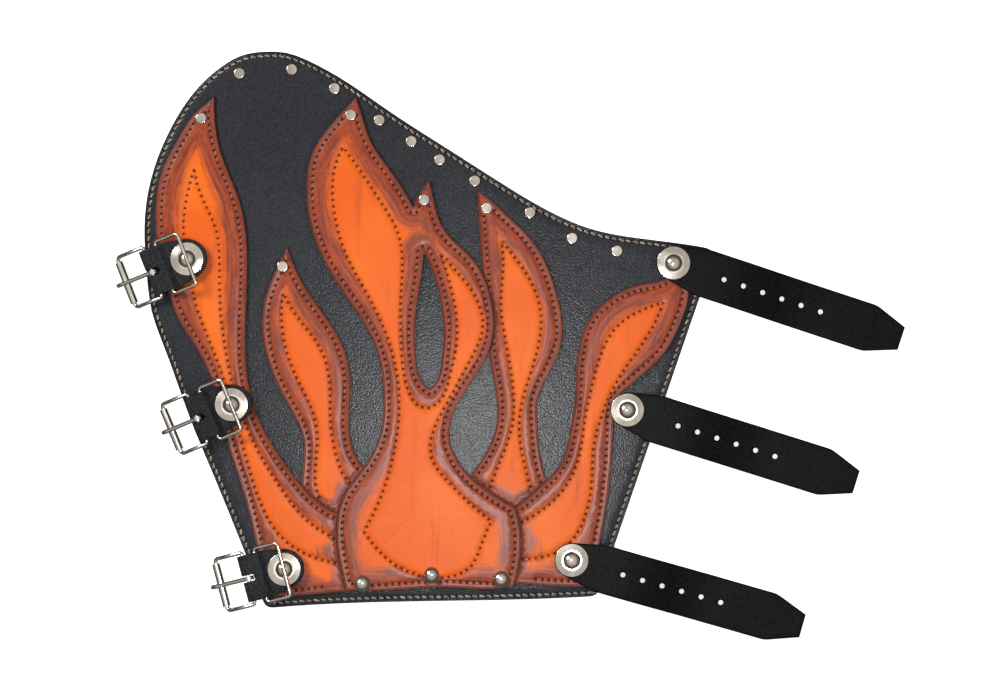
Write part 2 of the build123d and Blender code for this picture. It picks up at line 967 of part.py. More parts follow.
# Chape: a tab folded round the buckle's bar, its two layers held by the rivet
with BuildPart() as chape:
    with BuildSketch(Plane.XZ):
        with BuildLine(Plane.XZ):
            tail = -chape_end_radius - overrun
            Line((tail, tab_bottom), (chape_bar_distance, tab_bottom))
            JernArc((chape_bar_distance, tab_bottom), (1, 0), fold_radius, 180)
            Polyline(
                (chape_bar_distance, bar_height + fold_radius),
                (ramp_top, bar_height + fold_radius),
                (ramp_foot, upper_tab_top),
                (tail, upper_tab_top),
                (tail, upper_tab_bottom),
                (ramp_foot, upper_tab_bottom),
                (ramp_top, channel_top),
                (chape_bar_distance, channel_top),
            )
            JernArc((chape_bar_distance, channel_top), (1, 0), wire_radius + bar_clearance, -180)
            Polyline((chape_bar_distance, tab_top), (tail, tab_top), (tail, tab_bottom))
        make_face()
    extrude(amount=chape_width, both=True)
    with BuildSketch():
        Circle(chape_end_radius)
        with Locations((chape_shoulder, 0)):
            Rectangle(
                chape_bar_distance + fold_radius + overrun - chape_shoulder,
                chape_width,
                align=(Align.MIN, Align.CENTER),
            )
        make_hull()
    extrude(amount=bar_height + fold_radius + overrun, mode=Mode.INTERSECT)
    with BuildSketch():
        Circle(post_radius + swivel_fit)
        with Locations((chape_bar_distance - slot_inward + slot_width / 2, 0)):
            Circle(slot_width / 2)
            Rectangle(
                slot_inward + fold_radius + overrun,
                slot_width,
                align=(Align.MIN, Align.CENTER),
            )
    extrude(amount=bar_height + fold_radius + overrun, mode=Mode.SUBTRACT)

# Buckle frame: one bent wire that droops from the fold until its roller rests on the table
droop = degrees(asin((bar_height - roller_radius) / buckle_length))
buckle_plane = Plane(
    origin=(chape_bar_distance, 0, bar_height),
    x_dir=(cos(radians(droop)), 0, -sin(radians(droop))),
    z_dir=(sin(radians(droop)), 0, cos(radians(droop))),
)
frame_half_width = buckle_inner_width / 2 + wire_radius
camber_angle = atan2(buckle_camber, buckle_length / 2)
camber_radius = (buckle_length / 2 - 2 * buckle_front_radius) / tan(camber_angle)
with BuildPart() as buckle_frame:
    with BuildLine(buckle_plane) as frame_path:
        FilletPolyline(
            (0, -frame_half_width, 0),
            (buckle_length / 2, -frame_half_width, buckle_camber),
            (buckle_length, -frame_half_width, 0),
            (buckle_length, frame_half_width, 0),
            (buckle_length / 2, frame_half_width, buckle_camber),
            (0, frame_half_width, 0),
            radius=[
                buckle_heel_radius,
                camber_radius,
                buckle_front_radius,
                buckle_front_radius,
                camber_radius,
                buckle_heel_radius,
            ],
            close=True,
        )
    with BuildSketch(Plane(origin=frame_path.line @ 0, z_dir=frame_path.line % 0)):
        Circle(wire_radius)
    sweep(path=frame_path.wires()[0])

# Roller: a tube that turns on the frame's far side
roller_length = 2 * (frame_half_width - buckle_front_radius - roller_end_gap)
roller_axis = buckle_plane.from_local_coords((buckle_length, 0, 0))
with BuildPart() as roller:
    with BuildSketch(Plane.XZ):
        with Locations((roller_axis.X, roller_axis.Z)):
            Circle(roller_radius)
            Circle(wire_radius + swivel_fit, mode=Mode.SUBTRACT)
    extrude(amount=roller_length / 2, both=True)

# Prong: its eye turns on the frame's bar in the chape's slot, its tip lies over the roller
prong_plane = Plane(origin=buckle_plane.origin, x_dir=buckle_plane.x_dir, z_dir=(0, -1, 0))
eye_radius = slot_inward - eye_clearance
shank_start = eye_radius - prong_radius - eye_shoulder
shank_end = roller_radius + prong_clearance + prong_radius
shank_slope = (shank_end - shank_start) / buckle_length
bend_distance = buckle_length + roller_radius
bend_rise = shank_start + shank_slope * bend_distance
with BuildPart() as prong:
    with BuildSketch(prong_plane):
        Circle(eye_radius)
    extrude(amount=prong_radius - eye_shoulder, both=True)
    with BuildLine(prong_plane) as prong_path:
        FilletPolyline(
            (0, shank_start),
            (bend_distance, bend_rise),
            (buckle_length + prong_overhang, bend_rise - prong_tip_drop),
            radius=prong_bend_radius,
        )
    with BuildSketch(Plane(origin=prong_path.line @ 0, z_dir=prong_path.line % 0)):
        Circle(prong_radius)
    sweep(path=prong_path.wires()[0])
    tip_edge = prong.edges().filter_by(GeomType.CIRCLE).sort_by_distance(prong_path.line @ 1)[0]
    fillet(tip_edge, prong_tip_rounding)
    with BuildSketch(prong_plane):
        Circle(wire_radius + swivel_fit)
    extrude(amount=slot_width, both=True, mode=Mode.SUBTRACT)

# Keeper: a wire loop held in the fold, which lies back over the rivet's dome
dome_top = upper_tab_top + washer_clearance + washer_height + dome_height
keeper_rise = dome_top + keeper_dome_gap + wire_radius - bar_height
keeper_depth = hypot(keeper_distance, keeper_rise)
keeper_half_width = keeper_inner_width / 2 + wire_radius
keeper_plane = Plane(
    origin=(keeper_distance, 0, bar_height),
    x_dir=(-keeper_distance, 0, keeper_rise),
    z_dir=(keeper_rise, 0, keeper_distance),
)
with BuildPart() as keeper:
    with BuildLine(keeper_plane) as keeper_path:
        FilletPolyline(
            (0, -keeper_half_width),
            (keeper_depth, -keeper_half_width),
            (keeper_depth, keeper_half_width),
            (0, keeper_half_width),
            radius=keeper_corner_radius,
            close=True,
        )
    with BuildSketch(Plane(origin=keeper_path.line @ 0, z_dir=keeper_path.line % 0)):
        Circle(wire_radius)
    sweep(path=keeper_path.wires()[0])

buckle_pieces = {
    "chape": chape.part,
    "buckle": buckle_frame.part,
    "roller": roller.part,
    "prong": prong.part,
    "keeper": keeper.part,
}
for name, location in chape_places.items():
    for kind, piece in buckle_pieces.items():
        with BuildPart() as placed:
            with Locations(location):
                add(piece)
        finish(placed.part, f"{name}_{kind}")
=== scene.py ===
"""A leather vambrace with flame appliques, straps and roller buckles, laid out flat and seen from above."""

import math

import bmesh
import bpy
import numpy as np
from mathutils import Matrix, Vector
from mathutils.bvhtree import BVHTree
from mathutils.geometry import delaunay_2d_cdt
from mathutils.kdtree import KDTree


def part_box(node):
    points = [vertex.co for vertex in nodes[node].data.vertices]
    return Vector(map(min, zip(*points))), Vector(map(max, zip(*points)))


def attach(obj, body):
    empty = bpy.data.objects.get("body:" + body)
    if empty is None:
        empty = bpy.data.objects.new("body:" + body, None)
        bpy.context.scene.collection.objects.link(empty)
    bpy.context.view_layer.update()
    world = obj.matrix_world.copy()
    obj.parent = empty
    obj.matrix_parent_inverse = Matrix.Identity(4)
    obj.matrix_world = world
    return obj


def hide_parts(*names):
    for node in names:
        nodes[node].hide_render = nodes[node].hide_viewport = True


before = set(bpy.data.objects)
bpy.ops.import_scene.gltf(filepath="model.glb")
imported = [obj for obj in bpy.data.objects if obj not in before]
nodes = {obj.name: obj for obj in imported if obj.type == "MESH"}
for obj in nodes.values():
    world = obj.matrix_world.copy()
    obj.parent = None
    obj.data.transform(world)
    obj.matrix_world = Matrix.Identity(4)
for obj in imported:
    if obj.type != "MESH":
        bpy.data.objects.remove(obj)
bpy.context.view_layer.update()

# Camera
# The photograph looks straight down on the vambrace from well above it.
# It spans half a metre, and its middle lies a little to the right of the panel's.
VIEW_WIDTH = 0.5
VIEW_MIDDLE = (0.035, -0.007)
CAMERA_HEIGHT = 3.0
SENSOR_WIDTH = 36.0


def placed(name, data):
    """A new object in the scene, at the origin."""
    made = bpy.data.objects.new(name, data)
    bpy.context.scene.collection.objects.link(made)
    return made


camera_data = bpy.data.cameras.new("camera")
camera_data.sensor_width = SENSOR_WIDTH
camera_data.lens = SENSOR_WIDTH * CAMERA_HEIGHT / VIEW_WIDTH
camera_data.clip_end = 2 * CAMERA_HEIGHT
camera = placed("camera", camera_data)
camera.location = (*VIEW_MIDDLE, CAMERA_HEIGHT)
bpy.context.scene.camera = camera

# Light
# Soft studio light: a large softbox on the elbow side, a weak one over the straps that adds no
# gloss, a small low one that adds only gloss, and a room with a pale ceiling and darker walls.
ROOM_LIGHT = ((0.0, 0.30), (0.35, 0.20), (0.80, 1.5), (1.0, 1.65))
ROOM_STRENGTH = 0.38
SOFTBOXES = {
    "elbow_softbox": {"at": (-0.95, 0.57, 1.15), "size": 0.6, "watts": 19.0, "rays": ("matte", "gloss")},
    "strap_softbox": {"at": (0.85, -0.35, 1.00), "size": 0.6, "watts": 3.5, "rays": ("matte",)},
    "middle_softbox": {"at": (0.020, -0.078, 0.60), "size": 0.08, "watts": 2.4, "rays": ("gloss",)},
}

bpy.context.scene.view_settings.view_transform = "Standard"
world = bpy.data.worlds.new("studio")
world.use_nodes = True
bpy.context.scene.world = world
direction = world.node_tree.nodes.new("ShaderNodeTexCoord")
heights = world.node_tree.nodes.new("ShaderNodeSeparateXYZ")
sky = world.node_tree.nodes.new("ShaderNodeValToRGB")
while len(sky.color_ramp.elements) < len(ROOM_LIGHT):
    sky.color_ramp.elements.new(1)
for stop, (height, brightness) in zip(sky.color_ramp.elements, ROOM_LIGHT):
    stop.position = height
    stop.color = (brightness, brightness, brightness, 1)
background = world.node_tree.nodes["Background"]
background.inputs["Strength"].default_value = ROOM_STRENGTH
world.node_tree.links.new(direction.outputs["Generated"], heights.inputs[0])
world.node_tree.links.new(heights.outputs["Z"], sky.inputs[0])
world.node_tree.links.new(sky.outputs["Color"], background.inputs["Color"])
for name, softbox in SOFTBOXES.items():
    light_data = bpy.data.lights.new(name, "AREA")
    light_data.shape = "DISK"
    light_data.size = softbox["size"]
    light_data.energy = softbox["watts"]
    light = placed(name, light_data)
    light.location = softbox["at"]
    aim = Vector((*VIEW_MIDDLE, 0)) - light.location
    light.rotation_euler = aim.to_track_quat("-Z", "Y").to_euler()
    light.visible_camera = False
    light.visible_glossy = "gloss" in softbox["rays"]
    light.visible_diffuse = "matte" in softbox["rays"]

# Floor
# A plain white light table under the vambrace. It isn't part of the object, and bright metal
# doesn't mirror it, as in the photo, where the white ground was put in afterwards.
FLOOR_SIZE = 6.0
FLOOR_COLOUR = (0.86, 0.86, 0.86, 1)
FLOOR_ROUGHNESS = 0.9
FLOOR_GLOW = 0.8

floor_mesh = bpy.data.meshes.new("floor")
half_floor = FLOOR_SIZE / 2
floor_corners = [(x * half_floor, y * half_floor, 0) for x, y in ((-1, -1), (1, -1), (1, 1), (-1, 1))]
floor_mesh.from_pydata(floor_corners, [], [(0, 1, 2, 3)])
floor = placed("floor", floor_mesh)
floor_material = bpy.data.materials.new("pale_floor")
floor_material.use_nodes = True
floor_shader = floor_material.node_tree.nodes["Principled BSDF"]
floor_shader.inputs["Base Color"].default_value = FLOOR_COLOUR
floor_shader.inputs["Roughness"].default_value = FLOOR_ROUGHNESS
floor_shader.inputs["Emission Color"].default_value = (1, 1, 1, 1)
floor_shader.inputs["Emission Strength"].default_value = FLOOR_GLOW
floor_mesh.materials.append(floor_material)
floor.visible_glossy = False

# Lining
# Thin dark leather, flesh side out, glued to the back of the panel and cut to the same outline.
# It has round openings where the backs of the rivets lie flush in it.
MM = 0.001
TINY = 1e-9
WELD = 0.000005
FACING = 0.5
LEVEL_REACH = 0.0002
CORNER_TURN = math.radians(28)
SMOOTHINGS = 3
EDGE_SPACING = 1.0
ROUND_POINTS = 30
MITRE_LEAST = 0.7
ARC_STEPS = 4
RIM_CLEARANCE = 0.12
UNDER_SKIP = 3
CDT_INSIDE = 1
CDT_REACH = 0.001
STREAK_ROUGHNESS = 0.55
CREASE_SCALE = 260
CREASE_STRETCH = 0.09
CREASE_DISTORTION = 0.15
CREASE_RISE = (0.54, 0.72)
PEBBLE_SMOOTHNESS = 0.6
LINING_TOP_ROUNDING = 0.05
LINING_UNDER_ROUNDING = 0.25
LINING_GRID = 9.0
NAP_SCALE = 1400
NAP_DARK = (0.020, 0.014, 0.010)
NAP_PALE = (0.060, 0.044, 0.032)


def merged(node):
    """A node's mesh with its loose triangles joined, to read its shape from."""
    mesh = bmesh.new()
    mesh.from_mesh(node.data)
    bmesh.ops.remove_doubles(mesh, verts=mesh.verts, dist=WELD)
    mesh.normal_update()
    mesh.faces.index_update()
    return mesh


def cut_lines(node, level=None, side=1):
    """The closed lines, in millimetres, round a node's upper faces, or with side -1 its lower ones.

    A level, in metres, leaves out the faces at other heights. The outer line runs anticlockwise
    and holes run clockwise, so leather is always on the left."""
    mesh = merged(node)
    chosen = set()
    for face in mesh.faces:
        if face.normal.z * side > FACING:
            if level is None or abs(face.calc_center_median().z - level) < LEVEL_REACH:
                chosen.add(face.index)
    onward = {}
    for edge in mesh.edges:
        inner = [face for face in edge.link_faces if face.index in chosen]
        if len(inner) == 1:
            for loop in edge.link_loops:
                if loop.face is inner[0]:
                    ends = (loop.vert.index, loop.link_loop_next.vert.index)
                    onward.setdefault(ends[0], ends[1])
    points = {vert.index: (vert.co.x / MM, vert.co.y / MM) for vert in mesh.verts}
    lines = []
    while onward:
        start = min(onward)
        line, here = [], start
        while here in onward:
            line.append(points[here])
            here = onward.pop(here)
        if here == start and len(line) > 2:
            lines.append(np.array(line)[::side])
    mesh.free()
    return sorted(lines, key=lambda line: -abs(area(line)))


def area(line):
    """Signed area inside a closed line."""
    x, y = line[:, 0], line[:, 1]
    return 0.5 * float(np.sum(x * np.roll(y, -1) - y * np.roll(x, -1)))


def travelled(line):
    """How far along a line each of its points lies."""
    return np.concatenate([[0], np.cumsum(np.hypot(*np.diff(line, axis=0).T))])


def points_at(line, travel, at):
    """The points that lie at some distances along a line."""
    return np.column_stack([np.interp(at, travel, line[:, 0]), np.interp(at, travel, line[:, 1])])


def spaced(line, spacing):
    """A closed line with evenly spaced points. Sharp corners stay, and round holes get enough points."""
    after = np.roll(line, -1, axis=0) - line
    before = line - np.roll(line, 1, axis=0)
    turn = np.arctan2(
        before[:, 0] * after[:, 1] - before[:, 1] * after[:, 0], np.sum(before * after, axis=1)
    )
    corners = [i for i in range(len(line)) if abs(turn[i]) > CORNER_TURN]
    least = 1 if corners else ROUND_POINTS
    start = corners[0] if corners else 0
    order = np.roll(line, -start, axis=0)
    order = np.vstack([order, order[:1]])
    stops = [corner - start for corner in corners] or [0]
    stops.append(len(line))
    points, fixed = [], []
    for first, last in zip(stops[:-1], stops[1:]):
        run = order[first : last + 1]
        travel = travelled(run)
        count = max(least, round(travel[-1] / spacing))
        points.append(points_at(run, travel, np.linspace(0, travel[-1], count + 1)[:-1]))
        fixed += [bool(corners)] + [False] * (count - 1)
    points, fixed = np.vstack(points), np.array(fixed)
    for _ in range(SMOOTHINGS):
        eased = (np.roll(points, 1, axis=0) + 2 * points + np.roll(points, -1, axis=0)) / 4
        points = np.where(fixed[:, None], points, eased)
    return points


def left_of(along):
    """Unit directions to the left of some directions."""
    along = along / np.maximum(np.hypot(*along.T), TINY)[:, None]
    return np.stack([-along[:, 1], along[:, 0]], axis=1)


def moved_in(line, distance):
    """A closed line moved to its left by a distance."""
    left = left_of(np.roll(line, -1, axis=0) - line)
    both = left + np.roll(left, 1, axis=0)
    size = np.maximum(np.hypot(*both.T), MITRE_LEAST)[:, None]
    return line + distance * 2 * both / size**2


def tree_of(points):
    """Lookup of the nearest of some points."""
    tree = KDTree(len(points))
    for index, point in enumerate(points):
        tree.insert((point[0], point[1], 0), index)
    tree.balance()
    return tree


def nearest(tree, points):
    """Distance to the nearest point of a lookup, and which one it is, for each of some points."""
    found = [tree.find((x, y, 0)) for x, y in points]
    return np.array([hit[2] for hit in found]), np.array([hit[1] for hit in found])


def rim_of(lines):
    """Lookup of the nearest place on some closed lines."""
    return tree_of(np.vstack([spaced(line, EDGE_SPACING / 2) for line in lines]))


def inside(lines, points):
    """Which points lie inside the lines, holes left out."""
    result = np.zeros(len(points), bool)
    for line in lines:
        for a, b in zip(line, np.roll(line, -1, axis=0)):
            if a[1] != b[1]:
                spans = (a[1] > points[:, 1]) != (b[1] > points[:, 1])
                cross = a[0] + (points[:, 1] - a[1]) * (b[0] - a[0]) / (b[1] - a[1])
                result ^= spans & (points[:, 0] < cross)
    return result


def filled(rim_lines, extra):
    """Triangles between the rim lines, through the extra points. Returns points and triangles.

    The rim lines' points come first, in their order."""
    rim = np.vstack(rim_lines)
    edges, start = [], 0
    for line in rim_lines:
        count = len(line)
        edges += [(start + i, start + (i + 1) % count) for i in range(count)]
        start += count
    everything = np.vstack([rim, extra]) if len(extra) else rim
    made, _, triangles, sources, _, _ = delaunay_2d_cdt(
        [Vector(point) for point in everything], edges, [], CDT_INSIDE, CDT_REACH
    )
    points = [tuple(point) for point in everything]
    numbers = []
    for point, source in zip(made, sources):
        if source:
            numbers.append(source[0])
        else:
            numbers.append(len(points))
            points.append(tuple(point))
    points = np.array(points)
    triangles = np.array([[numbers[i] for i in t] for t in triangles if len(t) == 3])
    middles = points[triangles].mean(axis=1)
    return points, triangles[inside(rim_lines, middles)]


def leather_sheet(name, lines, bottom, top, rounding, grid, extra=(), relief=None, under_rounding=0.0):
    """A closed sheet of leather between two heights, in millimetres, with rounded edges.

    bottom and top are numbers, or functions of points. Extra points make the upper face finer.
    relief(points, insets) gives how far that face lies under top, and marks that a finish reads."""
    lines = [spaced(line, EDGE_SPACING) for line in lines]
    rim_tree = rim_of(lines)
    bottom_at = bottom if callable(bottom) else lambda points: np.full(len(points), float(bottom))
    top_at = top if callable(top) else lambda points: np.full(len(points), float(top))

    def ring(height_at, rounding, side, angle):
        """The rim lines at one angle of their rounding, and their heights."""
        shifted = [moved_in(line, rounding * (1 - math.cos(angle))) for line in lines]
        heights = [height_at(line) - side * rounding * (1 - math.sin(angle)) for line in shifted]
        return shifted, heights

    quarter = [math.pi / 2 * step / ARC_STEPS for step in range(ARC_STEPS + 1)]
    under_quarter = quarter if under_rounding else quarter[:1]
    rings = [ring(bottom_at, under_rounding, -1, angle) for angle in reversed(under_quarter)]
    rings += [ring(top_at, rounding, 1, angle) for angle in quarter]
    counts = [len(line) for line in lines]
    total = sum(counts)
    points = [np.column_stack([np.vstack(flat), np.concatenate(high)]) for flat, high in rings]
    faces = []
    for level in range(len(rings) - 1):
        start = level * total
        for count in counts:
            for i in range(count):
                a, b = start + i, start + (i + 1) % count
                faces.append((a, b, b + total, a + total))
            start += count
    low, high = lines[0].min(axis=0), lines[0].max(axis=0)
    rows = np.arange(low[1], high[1], grid * math.sqrt(3) / 2)
    lattice = [
        (x + (k % 2) * grid / 2, y)
        for k, y in enumerate(rows)
        for x in np.arange(low[0], high[0], grid)
    ]
    lattice = np.array(lattice)
    lattice = lattice[inside(lines, lattice)]
    lattice = lattice[nearest(rim_tree, lattice)[0] > rounding + grid / 3]
    # The upper face comes last, since the relief counts its points from the end.
    caps = ((rings[0], lattice[::UNDER_SKIP], bottom_at, -1), (rings[-1], lattice, top_at, 1))
    for (flat, _), spread, height_at, side in caps:
        if side > 0 and len(extra):
            keep = nearest(rim_tree, extra)[0] > rounding + RIM_CLEARANCE
            extra = extra[keep & inside(lines, extra)]
            spread = spread[nearest(tree_of(extra), spread)[0] > grid / 3]
            spread = np.vstack([extra, spread])
        flat_points, triangles = filled(flat, spread)
        rim_start = 0 if side < 0 else (len(rings) - 1) * total
        new = flat_points[total:]
        numbers = list(range(rim_start, rim_start + total))
        start = sum(len(block) for block in points)
        numbers += list(range(start, start + len(new)))
        points.append(np.column_stack([new, height_at(new)]))
        faces += [tuple(numbers[i] for i in triangle[::side]) for triangle in triangles]
    points = np.vstack(points)
    insets, rim_places = nearest(rim_tree, points[:, :2])
    marks = {"inset": insets, "along": rim_places * EDGE_SPACING / 2}
    if relief:
        upper = np.zeros(len(points), bool)
        upper[(len(rings) - 1) * total : len(rings) * total] = True
        upper[-len(new) :] = True
        drop, more = relief(points[:, :2], insets)
        points[:, 2] -= np.where(upper, drop, 0)
        marks.update({key: np.where(upper, mark, 0) for key, mark in more.items()})
    mesh = bpy.data.meshes.new(name)
    mesh.from_pydata((points * MM).tolist(), [], faces)
    for key, mark in marks.items():
        attribute = mesh.attributes.new(key, "FLOAT", "POINT")
        attribute.data.foreach_set("value", np.asarray(mark, np.float32))
    mesh.shade_smooth()
    return placed(name, mesh)


class Level:
    """Something that varies over a surface; arithmetic on it adds nodes to its finish."""

    def __init__(self, finish, socket):
        self.finish, self.socket = finish, socket

    def with_other(self, operation, first, second):
        """Adds the node that works two values out."""
        return self.finish.node("ShaderNodeMath", {"operation": operation}, {0: first, 1: second})

    def __add__(self, other):
        return self.with_other("ADD", self, other)

    def __radd__(self, other):
        return self.with_other("ADD", other, self)

    def __sub__(self, other):
        return self.with_other("SUBTRACT", self, other)

    def __rsub__(self, other):
        return self.with_other("SUBTRACT", other, self)

    def __mul__(self, other):
        return self.with_other("MULTIPLY", self, other)

    def __rmul__(self, other):
        return self.with_other("MULTIPLY", other, self)


class Finish:
    """A surface finish. Its shader's fixed values are set as it is made."""

    def __init__(self, name, **fixed):
        self.material = bpy.data.materials.new(name)
        self.material.use_nodes = True
        self.tree = self.material.node_tree
        self.shader = self.tree.nodes["Principled BSDF"]
        for socket, value in fixed.items():
            self.shader.inputs[socket.replace("_", " ")].default_value = value

    def node(self, kind, settings, values, output=0):
        """Adds a node with its settings, such as a ramp's stops, and its sockets' values or links."""
        made = self.tree.nodes.new(kind)
        for key, value in settings.items():
            setattr(made, key, value)
        for socket, value in values.items():
            self.feed(made.inputs[socket], value)
        return Level(self, made.outputs[output])

    def feed(self, socket, value):
        """Links a level to a socket, or sets a plain value there."""
        if isinstance(value, Level):
            self.tree.links.new(value.socket, socket)
        else:
            socket.default_value = value

    def place(self):
        """The place on the piece, in metres."""
        return self.node("ShaderNodeTexCoord", {}, {}, "Object")

    def cloud(self, scale, detail=3.0, roughness=0.5):
        """Soft noise from 0 to 1, scale in waves to the metre."""
        values = {"Vector": self.place(), "Scale": scale, "Detail": detail, "Roughness": roughness}
        return self.node("ShaderNodeTexNoise", {"normalize": True}, values)

    def streaks(self, length, width):
        """Soft noise from 0 to 1 that is drawn out along the edge, in millimetres."""
        values = {0: self.mark("along") * (1 / length), 1: self.mark("inset") * (1 / width)}
        across = self.node("ShaderNodeCombineXYZ", {}, values)
        values = {"Vector": across, "Scale": 1.0, "Detail": 3.0, "Roughness": STREAK_ROUGHNESS}
        return self.node("ShaderNodeTexNoise", {"normalize": True}, values)

    def creases(self):
        """Soft wrinkles, 1 along their middles, that run from elbow to wrist."""
        values = {"Vector": self.place(), "Scale": (1.0, CREASE_STRETCH, 1.0)}
        drawn_out = self.node("ShaderNodeMapping", {}, values)
        values = {"Vector": drawn_out, "Scale": CREASE_SCALE, "Detail": 2.0, "Roughness": 0.5}
        values["Distortion"] = CREASE_DISTORTION
        noise = self.node("ShaderNodeTexNoise", {"normalize": True}, values)
        return self.rise(noise, *CREASE_RISE)

    def pebbles(self, scale):
        """Rounded grain cells."""
        settings = {"feature": "SMOOTH_F1"}
        values = {"Vector": self.place(), "Scale": scale, "Smoothness": PEBBLE_SMOOTHNESS}
        return self.node("ShaderNodeTexVoronoi", settings, values, "Distance")

    def mark(self, name):
        """A mark that is kept on the mesh's points."""
        return self.node("ShaderNodeAttribute", {"attribute_name": name}, {}, "Fac")

    def rise(self, value, low, high):
        """Eases from 0 to 1 as a value goes from low to high."""
        settings = {"interpolation_type": "SMOOTHSTEP"}
        values = {"Value": value, "From Min": low, "From Max": high}
        return self.node("ShaderNodeMapRange", settings, values)

    def mixed(self, share, first, second):
        """A colour between two, which are plain colours or vary themselves."""
        ends = [colour if isinstance(colour, Level) else (*colour, 1) for colour in (first, second)]
        return self.node("ShaderNodeMix", {"data_type": "RGBA"}, {0: share, 6: ends[0], 7: ends[1]}, 2)

    def wear(self, colour, roughness, height, depth, strength):
        """Feeds the shader. depth is the bump's height in millimetres."""
        self.feed(self.shader.inputs["Base Color"], colour)
        self.feed(self.shader.inputs["Roughness"], roughness)
        values = {"Height": height, "Distance": depth * MM, "Strength": strength}
        self.feed(self.shader.inputs["Normal"], self.node("ShaderNodeBump", {}, values, "Normal"))
        return self


def flesh_side():
    """Dark brown-black flesh side of leather, with a short nap."""
    finish = Finish("lining_suede", Specular_IOR_Level=0.2)
    nap = finish.cloud(NAP_SCALE, 5.0, 0.7)
    patches = finish.cloud(35, 3.0)
    shade = finish.rise(nap * 0.6 + patches * 0.4, 0.35, 0.7)
    colour = finish.mixed(shade, NAP_DARK, NAP_PALE)
    return finish.wear(colour, 0.85 + 0.1 * nap, nap, depth=0.15, strength=0.8)


def finished(piece, body, slot, finish, *replaced):
    """Gives a made piece its finish and body, and hides the nodes that it stands for. slot is not used."""
    piece.data.materials.append(finish.material)
    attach(piece, body)
    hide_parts(*replaced)


low, high = (corner.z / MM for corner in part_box("lining"))
lining_lines = cut_lines(nodes["lining"], 0, -1)
lining = leather_sheet(
    "lining_leather",
    lining_lines,
    low,
    high,
    LINING_TOP_ROUNDING,
    LINING_GRID,
    under_rounding=LINING_UNDER_ROUNDING,
)
finished(lining, "panel", "lining_suede", flesh_side(), "lining")

# Outer panel
# The body of the vambrace: 3 mm black leather with a fine pebbled grain and a soft gloss.
# Its edge is rounded and burnished, and the thread along its border pulls a shallow groove into it.
PANEL_ROUNDING = 0.8
PANEL_GRID = 3.0
PANEL_PILLOW = 0.35
PANEL_PILLOW_WIDTH = 6.0
BORDER_GROOVE = 0.22
BORDER_PITCH = 3.6
LEAST_BANDS = 3
SHORTEST_ROW = 1.5
ROW_WIDTH = 0.9
ROW_SPACING = 0.8
ROW_SIDES = (-1.6, -0.7, 0, 0.7, 1.6)
ROW_SHADE = 1.6
POINT_GAP = 0.25
HOLE_RADIUS = 0.5
HOLE_DEPTH = 0.7
HOLE_MOUTH = 1.1
HOLE_SHADE = 1.5
HOLE_CLEARANCE = 1.7
HOLE_RINGS = ((0.6, 5), (1.15, 8))
GRAIN_SCALE = 1150
FINE_GRAIN = 1.7
PANEL_RIM = (0.2, 1.6)
PANEL_BLACK = (0.021, 0.022, 0.026)
PANEL_GREY = (0.041, 0.044, 0.050)
BURNISHED_BLACK = (0.012, 0.011, 0.011)
# Painted shade: the near-black colour of the panel's stitch holes.
PAINTED_HOLE_SHADE_BLACK = (0.002, 0.002, 0.002)


def thread_lines(node):
    """Middle lines, in millimetres, of the flat bands that stand for a node's rows of thread.

    Each line goes through the edges between neighbouring faces. It comes with whether it is closed."""
    mesh = merged(node)
    mesh.faces.ensure_lookup_table()
    top = {face.index for face in mesh.faces if face.normal.z > FACING}

    def beside(face):
        """The upper faces next to a face, each with the edge between them."""
        return [
            (edge, other)
            for edge in face.edges
            for other in edge.link_faces
            if other is not face and other.index in top
        ]

    # A face that only hangs on the side of a row is left out of it.
    for number in sorted(top):
        ways = beside(mesh.faces[number])
        if len(ways) == 1 and len(beside(ways[0][1])) == 3:
            top.discard(number)
    waiting, lines = sorted(top), []
    while waiting:
        ends = [number for number in waiting if len(beside(mesh.faces[number])) < 2]
        face = mesh.faces[(ends or waiting)[0]]
        first, left, line = face, set(waiting), []
        while True:
            left.discard(face.index)
            ways = [way for way in beside(face) if way[1].index in left]
            if not ways:
                break
            edge, face = ways[0]
            line.append((edge.verts[0].co.xy + edge.verts[1].co.xy) / 2 / MM)
        closing = [edge for edge, other in beside(face) if other is first]
        closed = not ends and bool(closing)
        waiting = sorted(left)
        if len(line) > LEAST_BANDS:
            lines.append((np.array(line), closed))
    mesh.free()
    return lines


def pricked(node, pitch):
    """Where a row's stitches lie: for each of its lines, their middles and the holes between them."""
    rows = []
    for line, closed in thread_lines(node):
        if closed:
            line = np.vstack([line, line[:1]])
        travel = travelled(line)
        if travel[-1] < SHORTEST_ROW * pitch:
            continue
        count = round(travel[-1] / pitch)
        places = {
            "middles": (np.arange(count) + 0.5) / count * travel[-1],
            "holes": np.arange(count + (0 if closed else 1)) / count * travel[-1],
            "line": np.arange(0, travel[-1], ROW_SPACING / 2),
        }
        rows.append({part: points_at(line, travel, at) for part, at in places.items()})
    return rows


def points_along(rows):
    """Points beside rows of stitches and round their holes, for a sheet that has grooves there."""
    found = []
    holes = np.vstack([row["holes"] for row in rows])
    around = [(0.0, 0.0)]
    for share, count in HOLE_RINGS:
        radius = share * HOLE_RADIUS
        for k in range(count):
            angle = 2 * math.pi * k / count
            around.append((radius * math.cos(angle), radius * math.sin(angle)))
    for row in rows:
        line = row["line"][::2]
        if len(line) < 2:
            continue
        left = left_of(np.gradient(line, axis=0))
        for across in ROW_SIDES:
            found.append(line + left * across * ROW_WIDTH)
    found = np.vstack(found)
    found = found[nearest(tree_of(holes), found)[0] > HOLE_CLEARANCE * HOLE_RADIUS]
    apart = np.unique(np.round(found / POINT_GAP).astype(int), axis=0, return_index=True)[1]
    found = found[np.sort(apart)]
    pricks = (holes[:, None, :] + np.array(around)[None, :, :]).reshape(-1, 2)
    return np.vstack([found, pricks])


def pillowed(insets, depth, width):
    """How far padded leather sinks towards its edge."""
    return depth * np.clip(1 - insets / width, 0, 1) ** 2


